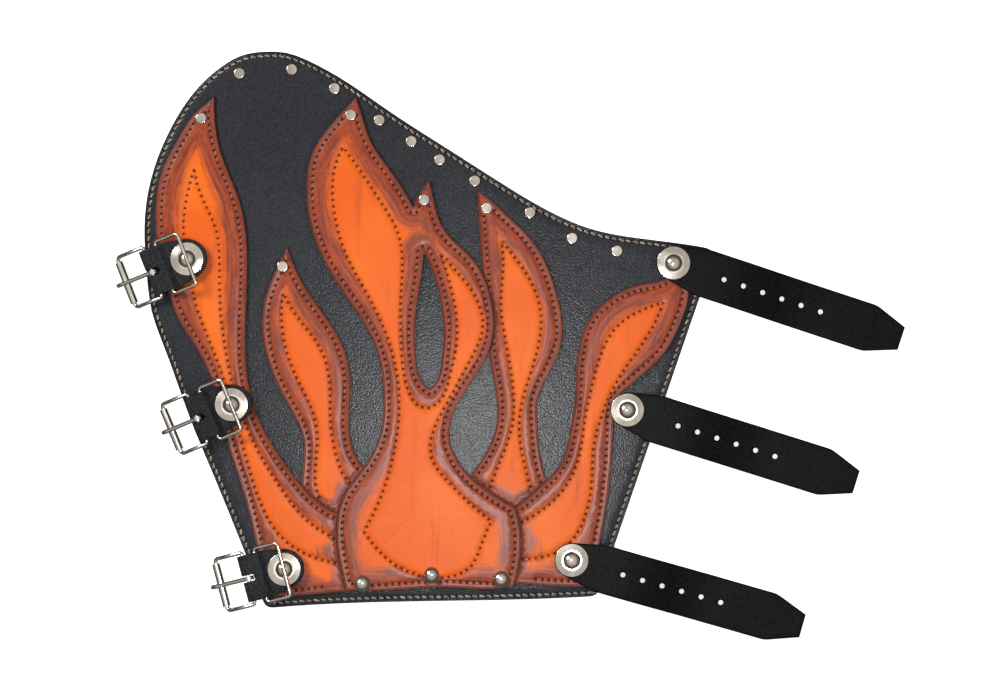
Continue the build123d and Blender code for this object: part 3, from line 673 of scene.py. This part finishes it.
def sewn_relief(rows, depth, pillow, pillow_width):
    """Relief of a sheet with rounded borders, grooves under its rows of stitches and holes in them. Its
    marks say where shade is painted in the holes and along the grooves.
    """
    hole_tree = tree_of(np.vstack([row["holes"] for row in rows]))
    line_tree = tree_of(np.vstack([row["line"] for row in rows]))
    mouth = HOLE_MOUTH * HOLE_RADIUS

    def relief(points, insets):
        to_line = nearest(line_tree, points)[0]
        to_hole = nearest(hole_tree, points)[0]
        drop = pillowed(insets, pillow, pillow_width)
        drop += depth * np.exp(-((to_line / ROW_WIDTH) ** 2))
        drop += HOLE_DEPTH * np.clip(1 - to_hole / mouth, 0, 1)
        # Painted shade: how far a point lies inside a stitch hole, where the colour turns near black.
        holed = np.clip(HOLE_SHADE - to_hole / mouth, 0, 1)
        # Painted shade: closeness to a row's groove, where the flames' colour is darkened.
        rowed = np.exp(-((to_line / (ROW_SHADE * ROW_WIDTH)) ** 2))
        return drop, {"holed": holed, "rowed": rowed}

    return relief


def black_leather(name, dark, light, shine, gloss, grain, wrinkles):
    """Black leather: pebbled grain over soft creases, in two shades. Returns what wear() needs."""
    finish = Finish(name, Specular_IOR_Level=shine)
    cells = finish.pebbles(grain)
    fine = finish.cloud(FINE_GRAIN * grain, 2.0, 0.6)
    creases = finish.cloud(170, 4.0, 0.62)
    patches = finish.cloud(14, 3.0, 0.55)
    # The pebble tops are coloured lighter than the valleys between them: a painted glint over the grain's
    # own random tone.
    shade = finish.rise(patches * 0.35 + creases * 0.15 + fine * 0.5 - 0.5 * cells, 0.05, 0.5)
    colour = finish.mixed(shade, dark, light)
    height = cells * -0.6 + fine * 0.35 + creases * wrinkles
    rough = gloss + 0.06 * creases - 0.04 * patches + 0.06 * cells
    return finish, colour, rough, height


def panel_leather():
    """The panel's leather, with painted shade in the holes of its stitches, and darker along its burnished
    edge.
    """
    finish, colour, rough, height = black_leather(
        "panel_leather", PANEL_BLACK, PANEL_GREY, shine=0.08, gloss=0.16, grain=GRAIN_SCALE, wrinkles=0.5
    )
    rim = 1 - finish.rise(finish.mark("inset"), *PANEL_RIM)
    colour = finish.mixed(rim, colour, BURNISHED_BLACK)
    # Painted shade: the stitch holes are coloured near black.
    colour = finish.mixed(finish.mark("holed"), colour, PAINTED_HOLE_SHADE_BLACK)
    return finish.wear(colour, rough - 0.03 * rim, height, depth=0.12, strength=0.9)


panel_low, panel_high = (corner.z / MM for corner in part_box("outer_panel"))
panel_lines = cut_lines(nodes["outer_panel"], panel_high * MM)[:1]
border_rows = pricked(nodes["border_thread"], BORDER_PITCH)
panel = leather_sheet(
    "panel_leather",
    panel_lines,
    panel_low,
    panel_high,
    PANEL_ROUNDING,
    PANEL_GRID,
    points_along(border_rows),
    sewn_relief(border_rows, BORDER_GROOVE, PANEL_PILLOW, PANEL_PILLOW_WIDTH),
)
finished(panel, "panel", "panel_leather", panel_leather(), "outer_panel")

# Border stitching
# Waxed tan thread, saddle stitched by hand right round the panel about 2 mm in from the edge.
# Each stitch lies a little aslant and dives into the holes at its ends.
BORDER_THREAD_RADIUS = 0.42
BORDER_STITCH = 0.64
BORDER_SLANT = 0.22
BORDER_SEED = 3
STITCH_RISE = 0.55
STITCH_SINK = 0.5
STITCH_BEND = 0.75
STITCH_SIDES = 6
STITCH_STEPS = 6
SIZE_SPREAD = 0.08
TAN = (0.58, 0.44, 0.30)
DEEP_TAN = (0.20, 0.14, 0.09)


def stitch_tree():
    """Node tree that lays one stitch at each point of a curve, along the curve."""
    tree = bpy.data.node_groups.new("saddle_stitches", "GeometryNodeTree")
    face = tree.interface
    face.new_socket("Row", in_out="INPUT", socket_type="NodeSocketGeometry")
    for label in ("Stitch length", "Thread radius", "Slant", "Rise", "Sink", "Size spread"):
        face.new_socket(label, in_out="INPUT", socket_type="NodeSocketFloat")
    face.new_socket("Seed", in_out="INPUT", socket_type="NodeSocketInt")
    face.new_socket("Thread", in_out="INPUT", socket_type="NodeSocketMaterial")
    face.new_socket("Stitches", in_out="OUTPUT", socket_type="NodeSocketGeometry")
    start = tree.nodes.new("NodeGroupInput")

    def add(kind, settings, values):
        """Adds a node with its settings, and its sockets' values or links."""
        made = tree.nodes.new(kind)
        for key, value in settings.items():
            setattr(made, key, value)
        for socket, value in values.items():
            if hasattr(value, "is_linked"):
                tree.links.new(value, made.inputs[socket])
            else:
                made.inputs[socket].default_value = value
        return made

    def maths(operation, first, second):
        return add("ShaderNodeMath", {"operation": operation}, {0: first, 1: second}).outputs[0]

    given = start.outputs
    half = maths("MULTIPLY", given["Stitch length"], 0.5)
    back = maths("MULTIPLY", half, -1)
    under = maths("MULTIPLY", given["Sink"], -1)
    aside = maths("MULTIPLY", half, given["Slant"])
    other = maths("MULTIPLY", aside, -1)
    lean = maths("MULTIPLY", half, STITCH_BEND)
    lean_back = maths("MULTIPLY", half, -STITCH_BEND)
    corner = "ShaderNodeCombineXYZ"
    ends = {
        "Start": add(corner, {}, {0: back, 1: aside, 2: under}),
        "Start Handle": add(corner, {}, {0: lean_back, 1: aside, 2: given["Rise"]}),
        "End Handle": add(corner, {}, {0: lean, 1: other, 2: given["Rise"]}),
        "End": add(corner, {}, {0: half, 1: other, 2: under}),
    }
    values = {key: end.outputs[0] for key, end in ends.items()}
    values["Resolution"] = STITCH_STEPS
    spine = add("GeometryNodeCurvePrimitiveBezierSegment", {"mode": "POSITION"}, values)
    section_values = {"Resolution": STITCH_SIDES, "Radius": given["Thread radius"]}
    section = add("GeometryNodeCurvePrimitiveCircle", {"mode": "RADIUS"}, section_values)
    tube = add(
        "GeometryNodeCurveToMesh",
        {},
        {"Curve": spine.outputs[0], "Profile Curve": section.outputs[0], "Fill Caps": True},
    )
    smooth = add("GeometryNodeSetShadeSmooth", {}, {0: tube.outputs[0]})
    spots = add("GeometryNodeCurveToPoints", {"mode": "EVALUATED"}, {"Curve": given["Row"]})
    turned = add("FunctionNodeAlignRotationToVector", {"axis": "X"}, {"Vector": spots.outputs["Tangent"]})
    least = maths("SUBTRACT", 1.0, given["Size spread"])
    most = maths("ADD", 1.0, given["Size spread"])
    values = {2: least, 3: most, "Seed": given["Seed"]}
    size = add("FunctionNodeRandomValue", {"data_type": "FLOAT"}, values)
    laid = add(
        "GeometryNodeInstanceOnPoints",
        {},
        {
            "Points": spots.outputs["Points"],
            "Instance": smooth.outputs[0],
            "Rotation": turned.outputs[0],
            "Scale": size.outputs[1],
        },
    )
    real = add("GeometryNodeRealizeInstances", {}, {0: laid.outputs[0]})
    waxed = add("GeometryNodeSetMaterial", {}, {0: real.outputs[0], "Material": given["Thread"]})
    result = tree.nodes.new("NodeGroupOutput")
    tree.links.new(waxed.outputs[0], result.inputs[0])
    return tree


SADDLE_STITCHES = stitch_tree()


def sew(name, node_name, rows, height, length, radius, slant, finish, seed):
    """Lays a row's stitches on the leather. height(points) is the leather's, in millimetres."""
    row_curve = bpy.data.curves.new(name + "_row", "CURVE")
    row_curve.dimensions = "3D"
    for row in rows:
        middles = row["middles"]
        if len(middles) < 2:
            continue
        spline = row_curve.splines.new("POLY")
        spline.points.add(len(middles) - 1)
        heights = height(middles)
        for point, (x, y), z in zip(spline.points, middles, heights):
            point.co = (x * MM, y * MM, z * MM, 1)
    row_object = placed(name + "_row", row_curve)
    modifier = row_object.modifiers.new("saddle_stitches", "NODES")
    modifier.node_group = SADDLE_STITCHES
    inputs = {
        "Stitch length": length * MM,
        "Thread radius": radius * MM,
        "Slant": slant,
        "Rise": STITCH_RISE * radius * MM,
        "Sink": STITCH_SINK * MM,
        "Size spread": SIZE_SPREAD,
        "Seed": seed,
        "Thread": finish.material,
    }
    for item in SADDLE_STITCHES.interface.items_tree:
        if item.in_out == "INPUT" and item.name in inputs:
            modifier[item.identifier] = inputs[item.name]
    depsgraph = bpy.context.evaluated_depsgraph_get()
    mesh = bpy.data.meshes.new_from_object(row_object.evaluated_get(depsgraph))
    bpy.data.objects.remove(row_object)
    stitches = placed(name, mesh)
    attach(stitches, "panel")
    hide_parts(node_name)


def waxed_thread(name, pale, deep):
    """Twisted waxed thread: two tones that change from stitch to stitch, and fine plies."""
    finish = Finish(name, Specular_IOR_Level=0.35)
    tone = finish.rise(finish.cloud(330, 2.0), 0.32, 0.68)
    plies = finish.cloud(3600, 2.0)
    colour = finish.mixed(tone * 0.8 + plies * 0.2, deep, pale)
    return finish.wear(colour, 0.55 + 0.2 * plies, plies, depth=0.12, strength=0.9)


def on_panel(points):
    """Height of the panel's groove, in millimetres."""
    return np.full(len(points), panel_high - BORDER_GROOVE)


tan_thread = waxed_thread("tan_thread", TAN, DEEP_TAN)
sew(
    "border_stitches",
    "border_thread",
    border_rows,
    on_panel,
    BORDER_STITCH * BORDER_PITCH,
    BORDER_THREAD_RADIUS,
    BORDER_SLANT,
    tan_thread,
    BORDER_SEED,
)

# Flames
# Five appliques of natural leather, dyed bright orange and airbrushed red-brown round their borders.
# Each is sewn down close to its rounded edge, and a second row follows where the dye turns orange.
FLAME_ROUNDING = 0.6
FLAME_GRID = 2.2
FLAME_GROOVE = 0.38
FLAME_PILLOW = 0.35
FLAME_PILLOW_WIDTH = 5.0
LEAST_FLAME_AREA = 60
FLAME_PITCH = 3.25
FLAME_SLANT = 0.18
FLAME_SEED = 11
FLAME_ROWS = {
    "edge": {"stitch": 0.64, "radius": 0.30},
    "second": {"stitch": 0.58, "radius": 0.22},
}
BAND_LEAST, BAND_MOST = 3.5, 11.5
BAND_SAMPLE = 4
DYE_FADE = (0.66, 1.22)
FLAME_RIM = (0.2, 1.5)
FRINGE = (0.6, 4.2)
FRINGE_SHARE = 0.36
# Painted shade: how far the orange darkens along the creases.
PAINTED_CREASE_SHADE_SHARE = 0.38
STREAK_SHARE = 0.5
# Painted shade: how far the flames' colour darkens towards red-brown along the stitch grooves.
PAINTED_ROW_SHADE_SHARE = 0.12
ORANGE = (0.90, 0.158, 0.006)
DEEP_ORANGE = (0.82, 0.118, 0.003)
RED_BROWN = (0.200, 0.032, 0.015)
WARM_BROWN = (0.41, 0.063, 0.014)
DARK_STREAK = (0.065, 0.014, 0.010)
RIM_BROWN = (0.105, 0.024, 0.014)
# Painted shade: the colour the orange darkens to in the creases.
PAINTED_CREASE_SHADE = (0.42, 0.060, 0.012)
# Painted shade: the near-black colour of the flames' stitch holes.
PAINTED_HOLE_SHADE_BROWN = (0.012, 0.003, 0.002)
THREAD_BROWN, DEEP_THREAD_BROWN = (0.46, 0.21, 0.13), (0.19, 0.06, 0.034)
THREAD_RUST, DEEP_THREAD_RUST = (0.82, 0.26, 0.07), (0.50, 0.10, 0.02)
BURNISH = 0.10
FLAMES = ("left_flame", "small_left_flame", "small_right_flame", "right_flame", "centre_flame")


def dyed_relief(rows, second_rows, rim_tree):
    """A flame's relief, and how far each point lies between its edge and its second row."""
    sewn = sewn_relief(rows + second_rows, FLAME_GROOVE, FLAME_PILLOW, FLAME_PILLOW_WIDTH)
    second = np.vstack([row["line"] for row in second_rows])[::BAND_SAMPLE]
    second_insets = np.clip(nearest(rim_tree, second)[0], BAND_LEAST, BAND_MOST)

    def relief(points, insets):
        drop, marks = sewn(points, insets)
        away = ((points[:, None, :] - second[None, :, :]) ** 2).sum(axis=2)
        weights = 1 / (away + 1) ** 2
        marks["band"] = insets * weights.sum(axis=1) / (weights @ second_insets)
        return drop, marks

    return relief


def flame_leather():
    """Orange dye that fades to red-brown between the second row and the edge, with brush strokes."""
    finish = Finish("flame_leather", Specular_IOR_Level=0.12, Coat_Roughness=0.24)
    strokes = finish.streaks(16.0, 1.5)
    lines = finish.streaks(9.0, 0.6)
    blots = finish.cloud(60, 3.0, 0.6)
    mottle = finish.cloud(420, 4.0, 0.65)
    pores = finish.pebbles(1500)
    shade = finish.cloud(22, 2.0)
    creased = finish.creases() * finish.rise(finish.cloud(17, 1.0), 0.42, 0.62)
    band = finish.mark("band") + 0.45 * (strokes - 0.5) + 0.35 * (blots - 0.5) + 0.10 * (mottle - 0.5)
    orange = finish.mixed(finish.rise(shade, 0.35, 0.7), DEEP_ORANGE, ORANGE)
    warmth = finish.rise(strokes * 0.7 + mottle * 0.3, 0.36, 0.62)
    brown = finish.mixed(warmth, RED_BROWN, WARM_BROWN)
    brown = finish.mixed(finish.rise(lines, 0.52, 0.70) * STREAK_SHARE, brown, DARK_STREAK)
    # Painted shade: the orange is darkened along the creases, which the bump also sinks.
    orange = finish.mixed(creased * PAINTED_CREASE_SHADE_SHARE, orange, PAINTED_CREASE_SHADE)
    bare = finish.rise(band, *DYE_FADE)
    colour = finish.mixed(bare, brown, orange)
    fringe = 1 - finish.rise(finish.mark("inset") + 1.2 * (blots - 0.5), *FRINGE)
    colour = finish.mixed(fringe * FRINGE_SHARE, colour, RIM_BROWN)
    finish.feed(finish.shader.inputs["Coat Weight"], (1 - bare) * BURNISH)
    rim = 1 - finish.rise(finish.mark("inset") + 0.8 * (mottle - 0.5), *FLAME_RIM)
    colour = finish.mixed(rim * 0.7, colour, RIM_BROWN)
    # Painted shade: the colour darkens along the grooves of the stitch rows.
    colour = finish.mixed(finish.mark("rowed") * PAINTED_ROW_SHADE_SHARE, colour, RED_BROWN)
    # Painted shade: the stitch holes are coloured near black.
    colour = finish.mixed(finish.mark("holed"), colour, PAINTED_HOLE_SHADE_BROWN)
    rough = 0.28 + 0.16 * mottle + 0.08 * pores
    height = pores * 0.3 + mottle * 0.7 + lines * 0.5 - creased * 0.8
    return finish.wear(colour, rough, height, depth=0.10, strength=0.7)


flame_finish = flame_leather()
flame_threads = {
    "edge": waxed_thread("brown_thread", THREAD_BROWN, DEEP_THREAD_BROWN),
    "second": waxed_thread("rust_thread", THREAD_RUST, DEEP_THREAD_RUST),
}
for number, flame in enumerate(FLAMES):
    low, high = (corner.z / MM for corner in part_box(flame))
    lines = [line for line in cut_lines(nodes[flame], high * MM) if abs(area(line)) > LEAST_FLAME_AREA]
    rim_tree = rim_of(lines)
    rows = {kind: pricked(nodes[f"{flame}_{kind}_thread"], FLAME_PITCH) for kind in FLAME_ROWS}
    piece = leather_sheet(
        flame + "_leather",
        lines,
        low,
        high,
        FLAME_ROUNDING,
        FLAME_GRID,
        points_along(rows["edge"] + rows["second"]),
        dyed_relief(rows["edge"], rows["second"], rim_tree),
    )
    finished(piece, "panel", "flame_leather", flame_finish, flame)

    def on_flame(points, top=high, rim_tree=rim_tree):
        """Height of the flame's grooves, in millimetres."""
        insets = nearest(rim_tree, points)[0]
        return top - FLAME_GROOVE - pillowed(insets, FLAME_PILLOW, FLAME_PILLOW_WIDTH)

    for kind, row in FLAME_ROWS.items():
        sew(
            f"{flame}_{kind}_stitches",
            f"{flame}_{kind}_thread",
            rows[kind],
            on_flame,
            row["stitch"] * FLAME_PITCH,
            row["radius"],
            FLAME_SLANT,
            flame_threads[kind],
            FLAME_SEED + number,
        )

# Rivets
# Nickel-plated steel: small flat caps along the elbow edge and on the flame tips, domes at the
# wrist, and large domes on ringed washers where straps and chapes swivel. Their backs are flat.
NICKEL = (0.85, 0.77, 0.66)
CLOUDED_NICKEL = (0.60, 0.53, 0.44)
# Painted light: a whiter nickel that makes the wires look more brightly lit.
PAINTED_LIGHT_NICKEL = (0.95, 0.90, 0.83)


def nickel_plate(name, rough, bright=NICKEL, clouded=CLOUDED_NICKEL):
    """Bright nickel with fine handling scratches and faint clouding."""
    finish = Finish(name, Metallic=1.0)
    clouding = finish.cloud(160, 3.0)
    scratches = finish.cloud(1900, 2.0, 0.7)
    shade = finish.rise(clouding, 0.3, 0.75)
    colour = finish.mixed(shade, clouded, bright)
    return finish.wear(colour, rough + 0.08 * clouding, scratches, depth=0.012, strength=0.35)


nickel = nickel_plate("nickel_plate", 0.12)
satin_nickel = nickel_plate("satin_nickel", 0.09)
# Painted light: the wires get a whiter copy of the nickel.
wire_nickel = nickel_plate("wire_nickel", 0.10, PAINTED_LIGHT_NICKEL, NICKEL)


def dressed(node_name, finish):
    """Gives a node that keeps its own shape its finish."""
    node = nodes[node_name]
    if not node.material_slots:
        node.data.materials.append(finish.material)
    for slot in node.material_slots:
        slot.material = finish.material


for name in nodes:
    if "_rivet_" in name:
        dressed(name, nickel if "washers" in name else satin_nickel)

# Straps
# Three straps of 3 mm black leather, cut to a blunt point and punched with six holes. Each lies
# flat over the panel, bends down over its edge and lies on the table.
STRAP_THICKNESS = 3.0
STRAP_ROUNDING = 0.7
STRAP_UNDER_ROUNDING = 0.5
STRAP_GRID = 1.8
LEAST_STRAP_AREA = 2
SEARCH_STEPS = 6
STRAP_GRAIN = 900
STRAP_RIM = (0.3, 2.2)
STRAP_BLACK = (0.0020, 0.0020, 0.0023)
STRAP_GREY = (0.008, 0.008, 0.009)
RUBBED_BLACK = (0.004, 0.004, 0.004)
STATIONS = ("elbow", "middle", "wrist")


def strap_leather(name, dark, light):
    """Matte black strap leather with a coarser, drier grain and polished edges."""
    finish, colour, rough, height = black_leather(
        name, dark, light, shine=0.05, gloss=0.42, grain=STRAP_GRAIN, wrinkles=1.0
    )
    rim = 1 - finish.rise(finish.mark("inset"), *STRAP_RIM)
    colour = finish.mixed(rim * 0.7, colour, RUBBED_BLACK)
    return finish.wear(colour, rough, height, depth=0.18, strength=0.8)


strap_finish = strap_leather("strap_leather", STRAP_BLACK, STRAP_GREY)
for station in STATIONS:
    node = nodes[station + "_strap"]
    lines = [line for line in cut_lines(node) if abs(area(line)) > LEAST_STRAP_AREA]
    solid = merged(node)
    others = [face for face in solid.faces if face.normal.z > -FACING]
    bmesh.ops.delete(solid, geom=others, context="FACES")
    skin = BVHTree.FromBMesh(solid)
    solid.free()
    strap_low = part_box(station + "_strap")[0]

    def under(points, skin=skin, start=strap_low.z):
        """Height of the strap's lower face, in millimetres, found in steps from below."""
        heights = []
        for x, y in points:
            spot = Vector((x * MM, y * MM, start))
            for _ in range(SEARCH_STEPS):
                spot.z = skin.find_nearest(spot)[0].z
            heights.append(spot.z / MM)
        return np.array(heights)

    def over(points, under=under):
        """Height of the strap's upper face, in millimetres."""
        return under(points) + STRAP_THICKNESS

    strap = leather_sheet(
        station + "_strap_leather",
        lines,
        under,
        over,
        STRAP_ROUNDING,
        STRAP_GRID,
        under_rounding=STRAP_UNDER_ROUNDING,
    )
    finished(strap, station + "_strap", "strap_leather", strap_finish, station + "_strap")

# Chapes
# Tabs of thinner black leather, folded round the buckle's bar. The two layers are held by the
# rivet, a slot in the fold lets the prong through, and the keeper lies in the fold's channel.
CHAPE_FLAT = math.radians(0.5)
CHAPE_CORNER = math.radians(35)
CHAPE_BEVEL = 0.35
CHAPE_BEVEL_STEPS = 3
CHAPE_INSET = 3.0
# Painted light: the chapes' colours are lighter than the straps', for the brighter light on their side.
PAINTED_LIGHT_CHAPE_BLACK = (0.010, 0.010, 0.012)
PAINTED_LIGHT_CHAPE_GREY = (0.030, 0.031, 0.035)

# The same strap leather in lighter colours: painted light.
chape_finish = strap_leather("chape_leather", PAINTED_LIGHT_CHAPE_BLACK, PAINTED_LIGHT_CHAPE_GREY)
for station in STATIONS:
    mesh = merged(nodes[station + "_chape"])
    bmesh.ops.dissolve_limit(
        mesh, angle_limit=CHAPE_FLAT, verts=mesh.verts, edges=mesh.edges, delimit={"NORMAL"}
    )
    shared = [edge for edge in mesh.edges if len(edge.link_faces) == 2]
    bmesh.ops.bevel(
        mesh,
        geom=[edge for edge in shared if edge.calc_face_angle(0) > CHAPE_CORNER],
        offset=CHAPE_BEVEL * MM,
        segments=CHAPE_BEVEL_STEPS,
        profile=0.5,
        affect="EDGES",
        clamp_overlap=True,
    )
    bmesh.ops.triangulate(mesh, faces=mesh.faces)
    chape_mesh = bpy.data.meshes.new(station + "_chape_leather")
    mesh.to_mesh(chape_mesh)
    mesh.free()
    inset_mark = chape_mesh.attributes.new("inset", "FLOAT", "POINT")
    inset_mark.data.foreach_set("value", np.full(len(chape_mesh.vertices), CHAPE_INSET, np.float32))
    chape_mesh.shade_smooth()
    chape = placed(station + "_chape_leather", chape_mesh)
    finished(chape, station + "_chape", "strap_leather", chape_finish, station + "_chape")

# Buckles
# Roller buckles of bent nickel-plated wire: frame, prong and roller, and the rectangular wire
# keeper that lies back over the rivet and takes the strap's end.
# The wires wear the whiter nickel copy, which is painted light.
for station in STATIONS:
    for kind in ("buckle", "roller", "prong", "keeper"):
        dressed(f"{station}_{kind}", wire_nickel)
